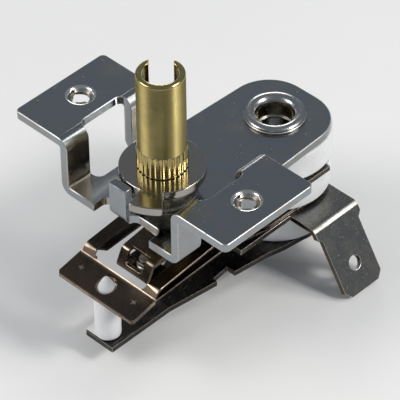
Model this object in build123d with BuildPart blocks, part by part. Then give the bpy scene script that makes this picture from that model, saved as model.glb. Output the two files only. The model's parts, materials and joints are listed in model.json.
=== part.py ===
from build123d import *
from math import cos, radians, sin, tan
import os

os.makedirs("parts", exist_ok=True)

# Frame: origin on the shaft's axis, level with the top of the two ears.
# +Z runs up the shaft, +X runs from the shaft to the rivet, +Y to the far ear.

# Fits
running_gap = 0.05
seat_gap = 0.1

# Mounting bracket, folded from one sheet
sheet = 1.2
bracket_width = 15.0
ear_span = 35.5
ear_corner = 0.7
hole_spacing = 28.0
hole_radius = 1.25
channel_width = 17.5
bracket_drop = 7.1
bend_inside = 0.3
window_front = -3.7
window_back = 3.4
window_floor_width = 14.6
window_corner = 1.0
window_ear_margin = 0.25
plate_end = 25.75
plate_root_half = 7.75
plate_end_half = 6.75
plate_corner = 5.4

# Stop lug, turned up from the front edge of the strip
lug_left = 2.4
lug_right = -0.35
lug_height = 4.25
lug_inner_x = -5.55
relief_left = 4.35
relief_right = -4.95
relief_depth = 2.2
relief_corner = 0.9

# Threaded bush in the strip
bush_radius = 4.35
bush_shank_radius = 3.4
bush_lip_radius = 3.8
bush_lip_height = 0.5

# Adjusting shaft and stop disc
shaft_top = 11.5
shaft_radius = 3.0
shaft_rim = 0.25
hollow_radius = 2.22
hollow_depth = 9.0
slot_width = 3.0
slot_depth = 5.2
slot_azimuth = 42.0
knurl_radius = 3.16
knurl_top = 0.4
knurl_teeth = 28
knurl_tooth_depth = 0.2
knurl_rise = knurl_radius - shaft_radius
disc_top = -2.68
disc_thickness = 1.22
disc_radius = 5.35
tab_reach = 8.2
tab_start = 195.0
tab_sweep = 30.0
thread_radius = 2.5
thread_end = -12.3
travel_gap = 0.55
core_radius = 1.5

# Calibration screw and insulating tip inside the shaft
screw_top = 1.2
screw_end = -11.2
screw_slot_width = 0.5
screw_slot_depth = 0.7
tip_head_radius = 1.75
tip_stem_radius = 1.4
tip_dome = 1.2
tip_crown = 0.6

# Stack under the rear plate, clamped by the hollow rivet
stack_x = 19.7
upper_ceramic_radius = 7.3
upper_ceramic_height = 3.8
middle_ceramic_radius = 7.1
middle_ceramic_height = 3.6
lower_ceramic_radius = 7.1
lower_ceramic_height = 3.8
spigot_radius = 4.4
spigot_sides = 12
tube_radius = 2.9
tube_bore = 2.35
eyelet_roll = 3.9
eyelet_roll_height = 0.75
washer_radius = 5.0
washer_thickness = 0.5

# Terminals
terminal_thickness = 0.75
terminal_root_radius = 6.4
terminal_front_x = 6.9
terminal_half = 3.95
terminal_crease = 10.2
terminal_slope = 58.4
terminal_flap = 10.2
flap_half = 3.3
flap_neck = 1.1
flap_corner = 0.9
terminal_hole_radius = 0.95
terminal_hole_reach = 6.5
rear_edge_reach = 7.35
rear_edge_half = 2.3

# Setting arm
arm_thickness = 0.45
arm_root_radius = 6.3
arm_half = 2.7
arm_clamp_x = 12.8
arm_bend_x = -4.5
arm_bend_drop = 2.5
arm_end_x = -5.75
arm_end_drop = 4.95
arm_foot_x = -1.9
arm_bend_radius = 0.45
arm_hole_half = 1.45
arm_hole_back_x = -3.9
arm_hole_floor = 0.75
arm_hole_corner = 0.45

# Reed, two leaves welded together at the end bar
leaf = 0.3
reed_root_radius = 6.4
reed_half = 6.3
reed_window_half = 4.4
reed_window_back = 8.5
reed_window_corner = 0.8
reed_clamp_x = 12.0
bar_front_x = -12.1
bar_back_x = -8.0
bar_half = 6.5
bar_slope = 11.3
bar_front_z = -16.55
bar_corner = 0.35
step_top_x = -7.25
step_height = 1.0
crown_x = 7.0
crown_z = -13.3
lower_crown_x = 4.5
lower_crown_z = -15.5
lower_clamp_x = 11.85
lower_flare = 1.0
tongue_half = 1.95
tongue_root_x = 9.2
tongue_end_x = -4.2
tongue_level_x = -1.4
post_hole_radius = 1.28

# Contacts
contact_x = -3.3
contact_radius = 1.1
contact_head = 0.33
contact_shank_radius = 0.55
contact_shank_sides = 8
contact_rivet_radius = 0.8
contact_rivet_height = 0.15
contact_gap = 0.1

# Bimetal strip
bimetal = 0.8
bimetal_root_radius = 6.9
bimetal_clamp_x = 12.6
bimetal_knee_x = -1.5
bimetal_drop = 1.9
bimetal_front_x = -11.6
bimetal_front_half = 2.3
bimetal_back_half = 6.3
bimetal_back_x = 15.0
notch_x = 5.2
notch_length = 2.5
notch_depth = 1.0
bimetal_bend_radius = 2.0

# Push post
post_x = -10.0
post_radius = 1.64
post_neck_radius = 1.1
post_tip_radius = 0.3
post_tip_height = 14.65
post_cone_height = 1.3
post_gap = 0.06
foot_left = 2.3
foot_length = 2.9
foot_thickness = 0.35
foot_gusset = 0.75

# Heights worked out from the stack, from the top down
strip_top = -bracket_drop
strip_bottom = strip_top - sheet
upper_gap_top = strip_bottom - upper_ceramic_height
arm_mid = upper_gap_top - arm_thickness / 2
rear_terminal_top = upper_gap_top - arm_thickness
middle_top = rear_terminal_top - terminal_thickness
lower_gap_top = middle_top - middle_ceramic_height
upper_leaf_mid = lower_gap_top - leaf / 2
lower_leaf_mid = upper_leaf_mid - leaf
front_terminal_top = lower_gap_top - 2 * leaf
lower_top = front_terminal_top - terminal_thickness
bimetal_top = lower_top - lower_ceramic_height
bimetal_mid = bimetal_top - bimetal / 2
washer_top = bimetal_top - bimetal
stack_bottom = washer_top - washer_thickness

bush_top = disc_top - disc_thickness - travel_gap
strip_hole_radius = spigot_radius + seat_gap
bimetal_hole_radius = tube_radius + seat_gap
wall_mid_y = (channel_width + sheet) / 2
ear_mid_z = -sheet / 2
strip_mid_z = strip_top - sheet / 2
ear_bend_y = channel_width / 2 + bend_inside + sheet
stack_axis = Axis((stack_x, 0, 0), (0, 0, 1))
stack_section = Plane(origin=(stack_x, 0, 0), x_dir=(1, 0, 0), z_dir=(0, -1, 0))


# Mounting bracket: a hat-shaped strip with ears, walls, rear plate and stop lug
with BuildPart() as mounting_bracket:
    with BuildSketch(Plane.YZ):
        with BuildLine():
            FilletPolyline(
                (-ear_span / 2, ear_mid_z),
                (-wall_mid_y, ear_mid_z),
                (-wall_mid_y, strip_mid_z),
                (wall_mid_y, strip_mid_z),
                (wall_mid_y, ear_mid_z),
                (ear_span / 2, ear_mid_z),
                radius=bend_inside + sheet / 2,
            )
        trace(line_width=sheet)
    extrude(amount=bracket_width / 2, both=True)
    ear_ends = mounting_bracket.edges().filter_by(Axis.Z).filter_by(
        lambda edge: abs(edge.center().Y) > hole_spacing / 2
    )
    fillet(ear_ends, radius=ear_corner)
    with BuildSketch(Plane.XY.offset(strip_top)):
        with BuildLine():
            edge_line = FilletPolyline(
                (0, -plate_root_half),
                (plate_end, -plate_end_half),
                (plate_end, plate_end_half),
                (0, plate_root_half),
                radius=plate_corner,
            )
            Line(edge_line @ 1, edge_line @ 0)
        make_face()
    extrude(amount=-sheet)
    with BuildSketch(Plane.XY.offset(strip_bottom)):
        for side in (-1, 1):
            with Locations(
                (
                    (window_front + window_back) / 2,
                    side * (window_floor_width / 2 + ear_bend_y + window_ear_margin) / 2,
                )
            ):
                RectangleRounded(
                    window_back - window_front,
                    ear_bend_y + window_ear_margin - window_floor_width / 2,
                    window_corner,
                )
    extrude(amount=bracket_drop + sheet, mode=Mode.SUBTRACT)
    with BuildSketch(Plane.XY.offset(strip_bottom)):
        for near, far in ((lug_left, relief_left), (relief_right, lug_right)):
            with Locations((-bracket_width / 2, (near + far) / 2)):
                RectangleRounded(2 * relief_depth, far - near, min(relief_corner, (far - near) * 0.45))
    extrude(amount=sheet, mode=Mode.SUBTRACT)
    with BuildSketch(Plane.XY.offset(strip_bottom)):
        with Locations((-bracket_width / 2, (lug_left + lug_right) / 2)):
            Rectangle(2 * (bracket_width / 2 + lug_inner_x - bend_inside), lug_left - lug_right)
    extrude(amount=sheet, mode=Mode.SUBTRACT)
    with BuildSketch(Plane.XZ.offset(-lug_left)):
        with BuildLine():
            FilletPolyline(
                (lug_inner_x + 1.2 * sheet, strip_mid_z),
                (lug_inner_x - sheet / 2, strip_mid_z),
                (lug_inner_x - sheet / 2, strip_top + lug_height),
                radius=bend_inside + sheet / 2,
            )
        trace(line_width=sheet)
    extrude(amount=lug_left - lug_right)
    with Locations((0, 0, strip_top)):
        Hole(radius=bush_shank_radius, depth=sheet)
    with Locations((stack_x, 0, strip_top)):
        Hole(radius=tube_radius, depth=sheet)
    with Locations((0, -hole_spacing / 2, 0), (0, hole_spacing / 2, 0)):
        Hole(radius=hole_radius, depth=sheet)
mounting_bracket.part.label = "mounting_bracket"
export_step(mounting_bracket.part, "parts/mounting_bracket.step")

# Threaded bush: collar on the strip, shank through it, lip riveted over below
with BuildPart() as threaded_bush:
    with BuildSketch(Plane.XZ):
        with BuildLine():
            Polyline(
                (thread_radius + running_gap, bush_top),
                (bush_radius, bush_top),
                (bush_radius, strip_top),
                (bush_shank_radius, strip_top),
                (bush_shank_radius, strip_bottom),
                (bush_lip_radius, strip_bottom),
                (bush_shank_radius, strip_bottom - bush_lip_height),
                (thread_radius + running_gap, strip_bottom - bush_lip_height),
                close=True,
            )
        make_face()
    revolve(axis=Axis.Z)
threaded_bush.part.label = "threaded_bush"
export_step(threaded_bush.part, "parts/threaded_bush.step")

# Stop disc: round, with a fan-shaped tab that runs between the walls
with BuildPart() as stop_disc:
    with BuildSketch(Plane.XY.offset(disc_top)):
        Circle(disc_radius)
        with BuildLine():
            inner_start = Vector(thread_radius, 0).rotate(Axis.Z, tab_start)
            outer_start = Vector(tab_reach, 0).rotate(Axis.Z, tab_start)
            inner_end = Vector(thread_radius, 0).rotate(Axis.Z, tab_start + tab_sweep)
            Line(inner_start, outer_start)
            rim = CenterArc((0, 0), tab_reach, tab_start, tab_sweep)
            Line(rim @ 1, inner_end)
            Line(inner_end, inner_start)
        make_face()
        Circle(thread_radius, mode=Mode.SUBTRACT)
    extrude(amount=-disc_thickness)
stop_disc.part.label = "stop_disc"
export_step(stop_disc.part, "parts/stop_disc.step")

# Adjusting shaft: hollow slotted top, straight knurl, disc seat and thread
with BuildPart() as adjusting_shaft:
    with BuildSketch(Plane.XZ):
        with BuildLine():
            Polyline(
                (core_radius, thread_end),
                (thread_radius, thread_end),
                (thread_radius, disc_top),
                (knurl_radius, disc_top),
                (knurl_radius, knurl_top),
                (shaft_radius, knurl_top + knurl_rise),
                (shaft_radius, shaft_top - shaft_rim),
                (shaft_radius - shaft_rim, shaft_top),
                (hollow_radius, shaft_top),
                (hollow_radius, shaft_top - hollow_depth),
                (core_radius, shaft_top - hollow_depth - (hollow_radius - core_radius)),
                close=True,
            )
        make_face()
    revolve(axis=Axis.Z)
    with BuildSketch(Plane.XY.offset(disc_top)):
        with PolarLocations(knurl_radius, knurl_teeth):
            RegularPolygon(radius=knurl_tooth_depth, side_count=4)
    extrude(amount=knurl_top + knurl_rise - disc_top, mode=Mode.SUBTRACT)
    slot_plane = Plane.XY.offset(shaft_top - slot_depth).rotated((0, 0, slot_azimuth))
    with BuildSketch(slot_plane):
        with Locations((shaft_radius, 0)):
            Rectangle(2 * shaft_radius - core_radius, slot_width)
    extrude(amount=slot_depth, mode=Mode.SUBTRACT)
adjusting_shaft.part.label = "adjusting_shaft"
export_step(adjusting_shaft.part, "parts/adjusting_shaft.step")

# Calibration screw: headless, with a screwdriver slot, in the shaft's core
with BuildPart() as calibration_screw:
    with BuildSketch(Plane.XY.offset(screw_end)):
        Circle(core_radius - running_gap)
    extrude(amount=screw_top - screw_end)
    with BuildSketch(Plane.XY.offset(screw_top)):
        Rectangle(2 * core_radius, screw_slot_width)
    extrude(amount=-screw_slot_depth, mode=Mode.SUBTRACT)
calibration_screw.part.label = "calibration_screw"
export_step(calibration_screw.part, "parts/calibration_screw.step")

# Insulating tip: ceramic stem in the shaft's core, domed head on the setting arm
arm_slope = arm_bend_drop / (arm_clamp_x - arm_bend_x)
arm_top_at_shaft = upper_gap_top - arm_slope * arm_clamp_x
with BuildPart() as insulating_tip:
    with BuildSketch(Plane.XZ):
        with BuildLine():
            tip_bottom = arm_top_at_shaft + arm_slope * (tip_head_radius - tip_dome) + running_gap
            Polyline(
                (0, tip_bottom),
                (0, screw_end - running_gap),
                (tip_stem_radius, screw_end - running_gap),
                (tip_stem_radius, thread_end - running_gap),
                (tip_head_radius, thread_end - running_gap),
                (tip_head_radius, tip_bottom + tip_crown),
                (tip_head_radius - tip_dome, tip_bottom),
                close=True,
            )
        make_face()
    revolve(axis=Axis.Z)
insulating_tip.part.label = "insulating_tip"
export_step(insulating_tip.part, "parts/insulating_tip.step")


def ceramic_spacer(label, top, height, radius, spigot):
    """White steatite ring; its many-sided spigot keeps the strips off the rivet and from turning."""
    with BuildPart() as spacer:
        with BuildSketch(Plane.XY.offset(top - height)):
            with Locations((stack_x, 0)):
                Circle(radius)
        extrude(amount=height)
        if spigot > 0:
            with BuildSketch(Plane.XY.offset(top)):
                with Locations((stack_x, 0)):
                    RegularPolygon(spigot_radius, spigot_sides)
            extrude(amount=spigot)
        with BuildSketch(Plane.XY.offset(top - height)):
            with Locations((stack_x, 0)):
                Circle(tube_radius)
        extrude(amount=height + spigot, mode=Mode.SUBTRACT)
    spacer.part.label = label
    export_step(spacer.part, f"parts/{label}.step")


ceramic_spacer("upper_ceramic", strip_bottom, upper_ceramic_height, upper_ceramic_radius, 0)
ceramic_spacer("middle_ceramic", middle_top, middle_ceramic_height, middle_ceramic_radius,
               upper_gap_top - middle_top)
ceramic_spacer("lower_ceramic", lower_top, lower_ceramic_height, lower_ceramic_radius,
               lower_gap_top - lower_top)

# Clamp washer under the bimetal strip
with BuildPart() as clamp_washer:
    with BuildSketch(Plane.XY.offset(washer_top)):
        with Locations((stack_x, 0)):
            Circle(washer_radius)
            Circle(tube_radius, mode=Mode.SUBTRACT)
    extrude(amount=-washer_thickness)
clamp_washer.part.label = "clamp_washer"
export_step(clamp_washer.part, "parts/clamp_washer.step")

# Clamp eyelet: hollow rivet, rolled over on the plate above and the washer below
with BuildPart() as clamp_eyelet:
    with BuildSketch(stack_section):
        with BuildLine():
            roll_top = strip_top + eyelet_roll_height
            roll_bottom = stack_bottom - eyelet_roll_height
            throat = (eyelet_roll - tube_bore) / 2
            flat = throat * tan(radians(22.5))
            Polyline(
                (tube_bore, roll_bottom + throat),
                (tube_bore, roll_top - throat),
                (tube_bore + throat - flat, roll_top),
                (tube_bore + throat + flat, roll_top),
                (eyelet_roll, strip_top),
                (tube_radius, strip_top),
                (tube_radius, stack_bottom),
                (eyelet_roll, stack_bottom),
                (tube_bore + throat, roll_bottom),
                close=True,
            )
        make_face()
    revolve(axis=stack_axis)
clamp_eyelet.part.label = "clamp_eyelet"
export_step(clamp_eyelet.part, "parts/clamp_eyelet.step")


def terminal(label, side, top, front_x):
    """Plated tab: round root in the stack, leg to one side, flap bent down."""
    mid = top - terminal_thickness / 2
    fall = radians(terminal_slope)
    run = Vector(0, side * cos(fall), -sin(fall))
    crease = Vector(stack_x, side * terminal_crease, mid)
    neck = crease + run * flap_neck
    outward = Vector(0, side * sin(fall), cos(fall))
    flap_plane = Plane(origin=crease - outward * (terminal_thickness / 2), x_dir=(1, 0, 0), z_dir=outward)
    down = -1 if flap_plane.y_dir.dot(run) < 0 else 1
    with BuildPart() as tab:
        with BuildSketch(Plane.XY.offset(top)):
            with Locations((stack_x, 0)):
                RegularPolygon(terminal_root_radius, 8, major_radius=False, rotation=22.5)
            if front_x < stack_x - terminal_root_radius:
                with Locations(((front_x + stack_x) / 2, 0)):
                    Rectangle(stack_x - front_x, 2 * terminal_root_radius)
            with Locations((stack_x, side * terminal_root_radius / 2)):
                Rectangle(2 * terminal_half, terminal_root_radius)
            if side > 0:
                with Locations((stack_x, -rear_edge_reach / 2)):
                    Rectangle(2 * rear_edge_half, rear_edge_reach)
        extrude(amount=-terminal_thickness)
        with BuildSketch(Plane(origin=(stack_x, 0, 0), x_dir=(0, 1, 0), z_dir=(1, 0, 0))):
            with BuildLine():
                FilletPolyline(
                    (side * terminal_root_radius * 0.8, mid),
                    (crease.Y, crease.Z),
                    (neck.Y, neck.Z),
                    radius=terminal_thickness,
                )
            trace(line_width=terminal_thickness)
        extrude(amount=terminal_half, both=True)
        with BuildSketch(flap_plane):
            with BuildLine():
                Polyline(
                    (-terminal_half, down * flap_neck),
                    (-flap_half, down * (flap_neck + terminal_half - flap_half)),
                    (-flap_half, down * (terminal_flap - flap_corner)),
                    (-flap_half + flap_corner, down * terminal_flap),
                    (flap_half - flap_corner, down * terminal_flap),
                    (flap_half, down * (terminal_flap - flap_corner)),
                    (flap_half, down * (flap_neck + terminal_half - flap_half)),
                    (terminal_half, down * flap_neck),
                    close=True,
                )
            make_face()
            with Locations((0, down * terminal_hole_reach)):
                Circle(terminal_hole_radius, mode=Mode.SUBTRACT)
        extrude(amount=terminal_thickness)
        with BuildSketch(Plane.XY.offset(top)):
            with Locations((stack_x, 0)):
                RegularPolygon(strip_hole_radius, spigot_sides)
        extrude(amount=-terminal_thickness, mode=Mode.SUBTRACT)
    tab.part.label = label
    export_step(tab.part, f"parts/{label}.step")


terminal("front_terminal", -1, front_terminal_top, terminal_front_x)
terminal("rear_terminal", 1, rear_terminal_top, stack_x)

# Setting arm: spring strip, bent down through the reed's window, with a foot turned back
arm_end_mid = arm_mid - arm_end_drop
stack_back_x = stack_x + bimetal_root_radius + seat_gap
with BuildPart() as setting_arm:
    with BuildSketch(Plane.XZ):
        with BuildLine():
            FilletPolyline(
                (stack_back_x, arm_mid),
                (arm_clamp_x, arm_mid),
                (arm_bend_x, arm_mid - arm_bend_drop),
                (arm_end_x, arm_end_mid),
                (arm_foot_x, arm_end_mid),
                radius=arm_bend_radius,
            )
        trace(line_width=arm_thickness)
    extrude(amount=arm_root_radius, both=True)
    with BuildSketch(Plane.XY.offset(arm_end_mid - arm_thickness)):
        with Locations((stack_x, 0)):
            RegularPolygon(arm_root_radius, 8, major_radius=False, rotation=22.5)
        with BuildLine():
            Polyline(
                (stack_x, -arm_root_radius * 0.98),
                (stack_x - arm_root_radius, -arm_root_radius * 0.75),
                (reed_window_back, -arm_half),
                (arm_end_x - 2 * arm_thickness, -arm_half),
                (arm_end_x - 2 * arm_thickness, arm_half),
                (reed_window_back, arm_half),
                (stack_x - arm_root_radius, arm_root_radius * 0.75),
                (stack_x, arm_root_radius * 0.98),
                close=True,
            )
        make_face()
        with Locations((stack_x, 0)):
            RegularPolygon(strip_hole_radius, spigot_sides, mode=Mode.SUBTRACT)
    extrude(amount=arm_end_drop + 2 * arm_thickness, mode=Mode.INTERSECT)
    hole_floor_z = arm_end_mid + arm_thickness / 2 + arm_hole_floor
    with BuildSketch(Plane.YZ.offset(arm_hole_back_x)):
        with Locations((0, hole_floor_z + arm_end_drop / 2)):
            RectangleRounded(2 * arm_hole_half, arm_end_drop, arm_hole_corner)
    extrude(amount=-(arm_hole_back_x - arm_end_x) - 2 * arm_thickness, mode=Mode.SUBTRACT)
    with BuildSketch(Plane.XY.offset(arm_end_mid + arm_thickness)):
        with Locations((contact_x, 0)):
            RegularPolygon(contact_shank_radius, contact_shank_sides)
    extrude(amount=-2 * arm_thickness, mode=Mode.SUBTRACT)
setting_arm.part.label = "setting_arm"
export_step(setting_arm.part, "parts/setting_arm.step")

# Reed: two frame-shaped leaves, welded to each other at the sloping end bar
bar_fall = tan(radians(bar_slope))
bar_back_z = bar_front_z + bar_fall * (bar_back_x - bar_front_x)
weld_offset = leaf / cos(radians(bar_slope))


def reed_plan(flare):
    """Plan of a leaf: root, two legs, end bar, window and holes."""
    with BuildSketch() as plan:
        with Locations((stack_x, 0)):
            RegularPolygon(reed_root_radius, 8, major_radius=False, rotation=22.5)
        with Locations(((bar_back_x + stack_x) / 2, 0)):
            Rectangle(stack_x - bar_back_x, 2 * reed_half)
        with BuildLine():
            Polyline(
                (bar_back_x, bar_half),
                (bar_front_x + bar_corner, bar_half),
                (bar_front_x, bar_half - bar_corner),
                (bar_front_x, bar_corner - bar_half),
                (bar_front_x + bar_corner, -bar_half),
                (bar_back_x, -bar_half),
                close=True,
            )
        make_face()
        with Locations(((bar_back_x + reed_window_back) / 2, 0)):
            RectangleRounded(
                reed_window_back - bar_back_x,
                2 * reed_window_half,
                reed_window_corner,
                mode=Mode.SUBTRACT,
            )
        if flare > 0:
            with BuildLine():
                Polyline(
                    (bar_back_x + reed_window_corner, reed_window_half + flare),
                    (bar_back_x + reed_window_corner + flare, reed_window_half + flare),
                    (bar_back_x + reed_window_corner + 2 * flare, reed_window_half - flare / 2),
                    (bar_back_x + reed_window_corner + 2 * flare, -reed_window_half + flare / 2),
                    (bar_back_x + reed_window_corner + flare, -reed_window_half - flare),
                    (bar_back_x + reed_window_corner, -reed_window_half - flare),
                    close=True,
                )
            make_face(mode=Mode.SUBTRACT)
        with Locations((stack_x, 0)):
            RegularPolygon(strip_hole_radius, spigot_sides, mode=Mode.SUBTRACT)
        with Locations((post_x, 0)):
            Circle(post_hole_radius, mode=Mode.SUBTRACT)
    return plan.sketch


reed_floor = front_terminal_top - leaf
reed_reach = crown_z - reed_floor + 2 * leaf
with BuildPart() as upper_reed:
    with BuildSketch(Plane.XZ):
        with BuildLine():
            Polyline(
                (stack_back_x, upper_leaf_mid),
                (reed_clamp_x, upper_leaf_mid),
                (crown_x, crown_z),
                (step_top_x, bar_back_z + step_height),
                (bar_back_x, bar_back_z),
                (bar_front_x, bar_front_z),
            )
        trace(line_width=leaf)
    extrude(amount=bar_half, both=True)
    with BuildSketch(Plane.XY.offset(reed_floor)):
        add(reed_plan(0))
    extrude(amount=reed_reach, mode=Mode.INTERSECT)
upper_reed.part.label = "upper_reed"
export_step(upper_reed.part, "parts/upper_reed.step")

tongue_mid = arm_end_mid + arm_thickness / 2 + 2 * contact_head + contact_gap + leaf / 2
with BuildPart() as lower_reed:
    with BuildSketch(Plane.XZ):
        with BuildLine():
            Polyline(
                (stack_back_x, lower_leaf_mid),
                (lower_clamp_x, lower_leaf_mid),
                (lower_crown_x, lower_crown_z),
                (bar_back_x, bar_back_z - weld_offset),
                (bar_front_x, bar_front_z - weld_offset),
            )
        trace(line_width=leaf)
    extrude(amount=bar_half, both=True)
    with BuildSketch(Plane.XY.offset(reed_floor)):
        add(reed_plan(lower_flare))
    extrude(amount=reed_reach, mode=Mode.INTERSECT)
    rise = (lower_crown_z - lower_leaf_mid) / (lower_clamp_x - lower_crown_x)
    with BuildSketch(Plane.XZ):
        with BuildLine():
            Polyline(
                (tongue_root_x, lower_leaf_mid + rise * (lower_clamp_x - tongue_root_x)),
                (lower_crown_x, lower_crown_z),
                (tongue_level_x, tongue_mid),
                (tongue_end_x, tongue_mid),
            )
        trace(line_width=leaf)
    extrude(amount=tongue_half, both=True)
    with BuildSketch(Plane.XY.offset(tongue_mid + leaf)):
        with Locations((contact_x, 0)):
            RegularPolygon(contact_shank_radius, contact_shank_sides)
    extrude(amount=-2 * leaf, mode=Mode.SUBTRACT)
lower_reed.part.label = "lower_reed"
export_step(lower_reed.part, "parts/lower_reed.step")


def contact_rivet(label, face, strip_thickness, side):
    """Silver rivet; face is the strip's side that the head lies on."""
    with BuildPart() as rivet:
        with BuildSketch(Plane(origin=(contact_x, 0, face), x_dir=(1, 0, 0), z_dir=(0, 0, side))):
            Circle(contact_radius)
        extrude(amount=contact_head)
        with BuildSketch(Plane(origin=(contact_x, 0, face), x_dir=(1, 0, 0), z_dir=(0, 0, -side))):
            RegularPolygon(contact_shank_radius, contact_shank_sides)
        extrude(amount=strip_thickness)
        far = face - side * strip_thickness
        with BuildSketch(Plane(origin=(contact_x, 0, far), x_dir=(1, 0, 0), z_dir=(0, 0, -side))):
            Circle(contact_rivet_radius)
        extrude(amount=contact_rivet_height)
    rivet.part.label = label
    export_step(rivet.part, f"parts/{label}.step")


contact_rivet("fixed_contact", arm_end_mid + arm_thickness / 2, arm_thickness, 1)
contact_rivet("moving_contact", tongue_mid - leaf / 2, leaf, -1)

# Bimetal strip: round root, tapering to a level end that carries the post
with BuildPart() as bimetal_strip:
    with BuildSketch(Plane.XZ):
        with BuildLine():
            FilletPolyline(
                (stack_back_x, bimetal_mid),
                (bimetal_clamp_x, bimetal_mid),
                (bimetal_knee_x, bimetal_mid - bimetal_drop),
                (bimetal_front_x, bimetal_mid - bimetal_drop),
                radius=bimetal_bend_radius,
            )
        trace(line_width=bimetal)
    extrude(amount=bimetal_root_radius, both=True)
    with BuildSketch(Plane.XY.offset(bimetal_mid - bimetal_drop - bimetal)):
        with Locations((stack_x, 0)):
            Circle(bimetal_root_radius)
        with BuildLine():
            Polyline(
                (stack_x, -bimetal_root_radius),
                (bimetal_back_x, -bimetal_back_half),
                (bimetal_knee_x, -bimetal_front_half),
                (bimetal_front_x, -bimetal_front_half),
                (bimetal_front_x, bimetal_front_half),
                (bimetal_knee_x, bimetal_front_half),
                (bimetal_back_x, bimetal_back_half),
                (stack_x, bimetal_root_radius),
                close=True,
            )
        make_face()
        taper = (bimetal_back_half - bimetal_front_half) / (bimetal_back_x - bimetal_knee_x)
        notch_mid_x = notch_x + notch_length / 2
        notch_edge = bimetal_front_half + taper * (notch_mid_x - bimetal_knee_x)
        with Locations((notch_mid_x, -notch_edge)):
            Rectangle(notch_length, 2 * notch_depth, mode=Mode.SUBTRACT)
        with Locations((stack_x, 0)):
            Circle(bimetal_hole_radius, mode=Mode.SUBTRACT)
    extrude(amount=bimetal_drop + 2 * bimetal, mode=Mode.INTERSECT)
bimetal_strip.part.label = "bimetal_strip"
export_step(bimetal_strip.part, "parts/bimetal_strip.step")

# Push post: ceramic pin with a shoulder under the end bar and a foot on the strip
post_base = bimetal_mid - bimetal_drop + bimetal / 2
post_tip = -post_tip_height
bar_under_post = (
    bar_front_z
    - 1.5 * weld_offset
    + bar_fall * (post_x - post_radius - bar_front_x)
)
shoulder = bar_under_post - post_gap
post_section = Plane(origin=(post_x, 0, 0), x_dir=(1, 0, 0), z_dir=(0, -1, 0))
with BuildPart() as push_post:
    with BuildSketch(post_section):
        with BuildLine():
            Polyline(
                (0, post_tip),
                (0, post_base),
                (post_radius, post_base),
                (post_radius, shoulder),
                (post_neck_radius, shoulder),
                (post_neck_radius, post_tip - post_cone_height),
                (post_tip_radius, post_tip),
                close=True,
            )
        make_face()
    revolve(axis=Axis((post_x, 0, 0), (0, 0, 1)))
    with BuildSketch(Plane.XY.offset(post_base)):
        with Locations((post_x, foot_left / 2)):
            Rectangle(foot_length, foot_left)
    extrude(amount=foot_thickness)
    with BuildSketch(Plane.YZ.offset(post_x)):
        with BuildLine():
            Polyline(
                (post_radius / 2, post_base + foot_thickness),
                (foot_left, post_base + foot_thickness),
                (post_radius, post_base + foot_thickness + foot_gusset),
                (post_radius / 2, post_base + foot_thickness + foot_gusset),
                close=True,
            )
        make_face()
    extrude(amount=foot_length / 2 - foot_thickness, both=True)
push_post.part.label = "push_post"
export_step(push_post.part, "parts/push_post.step")
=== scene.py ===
import json
from math import atan2, ceil, cos, degrees, radians, sin, tan

import bmesh
import bpy
from mathutils import Matrix, Vector

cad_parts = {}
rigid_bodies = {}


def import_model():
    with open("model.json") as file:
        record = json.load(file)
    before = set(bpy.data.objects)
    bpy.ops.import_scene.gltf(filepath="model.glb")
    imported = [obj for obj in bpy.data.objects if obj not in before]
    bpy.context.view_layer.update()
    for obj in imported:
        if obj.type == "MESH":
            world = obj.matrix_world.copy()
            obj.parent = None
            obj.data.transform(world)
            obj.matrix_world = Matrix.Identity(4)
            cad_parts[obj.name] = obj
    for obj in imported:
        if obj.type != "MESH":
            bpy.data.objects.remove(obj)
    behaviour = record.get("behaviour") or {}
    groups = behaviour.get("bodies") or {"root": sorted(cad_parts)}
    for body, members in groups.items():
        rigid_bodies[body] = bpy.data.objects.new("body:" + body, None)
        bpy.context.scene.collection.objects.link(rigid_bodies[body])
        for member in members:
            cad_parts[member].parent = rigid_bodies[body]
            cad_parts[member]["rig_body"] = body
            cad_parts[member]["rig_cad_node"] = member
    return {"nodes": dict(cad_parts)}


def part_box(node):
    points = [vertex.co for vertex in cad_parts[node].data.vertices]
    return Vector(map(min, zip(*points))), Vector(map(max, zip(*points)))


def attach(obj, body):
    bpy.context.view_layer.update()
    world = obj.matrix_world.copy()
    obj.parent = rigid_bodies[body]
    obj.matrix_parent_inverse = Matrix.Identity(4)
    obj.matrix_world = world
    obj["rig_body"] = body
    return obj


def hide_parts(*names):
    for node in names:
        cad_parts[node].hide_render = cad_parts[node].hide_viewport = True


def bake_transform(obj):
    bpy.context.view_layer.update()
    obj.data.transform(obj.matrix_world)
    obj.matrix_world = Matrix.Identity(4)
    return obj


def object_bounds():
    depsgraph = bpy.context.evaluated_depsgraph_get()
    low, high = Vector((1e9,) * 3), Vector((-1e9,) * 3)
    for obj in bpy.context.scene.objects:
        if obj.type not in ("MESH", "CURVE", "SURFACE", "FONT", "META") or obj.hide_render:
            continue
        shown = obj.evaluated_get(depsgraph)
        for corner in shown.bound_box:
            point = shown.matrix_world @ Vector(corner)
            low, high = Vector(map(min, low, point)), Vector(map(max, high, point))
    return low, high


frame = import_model()
cad_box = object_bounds()

# Studio: a wide pale table just under the thermostat, five soft square lamps
# round it, and a long lens that looks down on the corner with the shaft.
mm = 0.001
part_middle = Vector((0.007, 0.0, -0.012))
scene = bpy.context.scene
scene.view_settings.view_transform = "Standard"


def new_material(name):
    """An empty material with its output, its Principled shader and its node tree."""
    material = bpy.data.materials.new(name)
    material.use_nodes = True
    return material, material.node_tree, material.node_tree.nodes["Principled BSDF"]


def add_node(tree, kind, inputs=None, **settings):
    """Add one node; a socket given as an input is linked, anything else is its value."""
    made = tree.nodes.new(kind)
    for key, value in settings.items():
        setattr(made, key, value)
    for key, value in (inputs or {}).items():
        if isinstance(value, bpy.types.NodeSocket):
            tree.links.new(value, made.inputs[key])
        else:
            made.inputs[key].default_value = value
    return made


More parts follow.
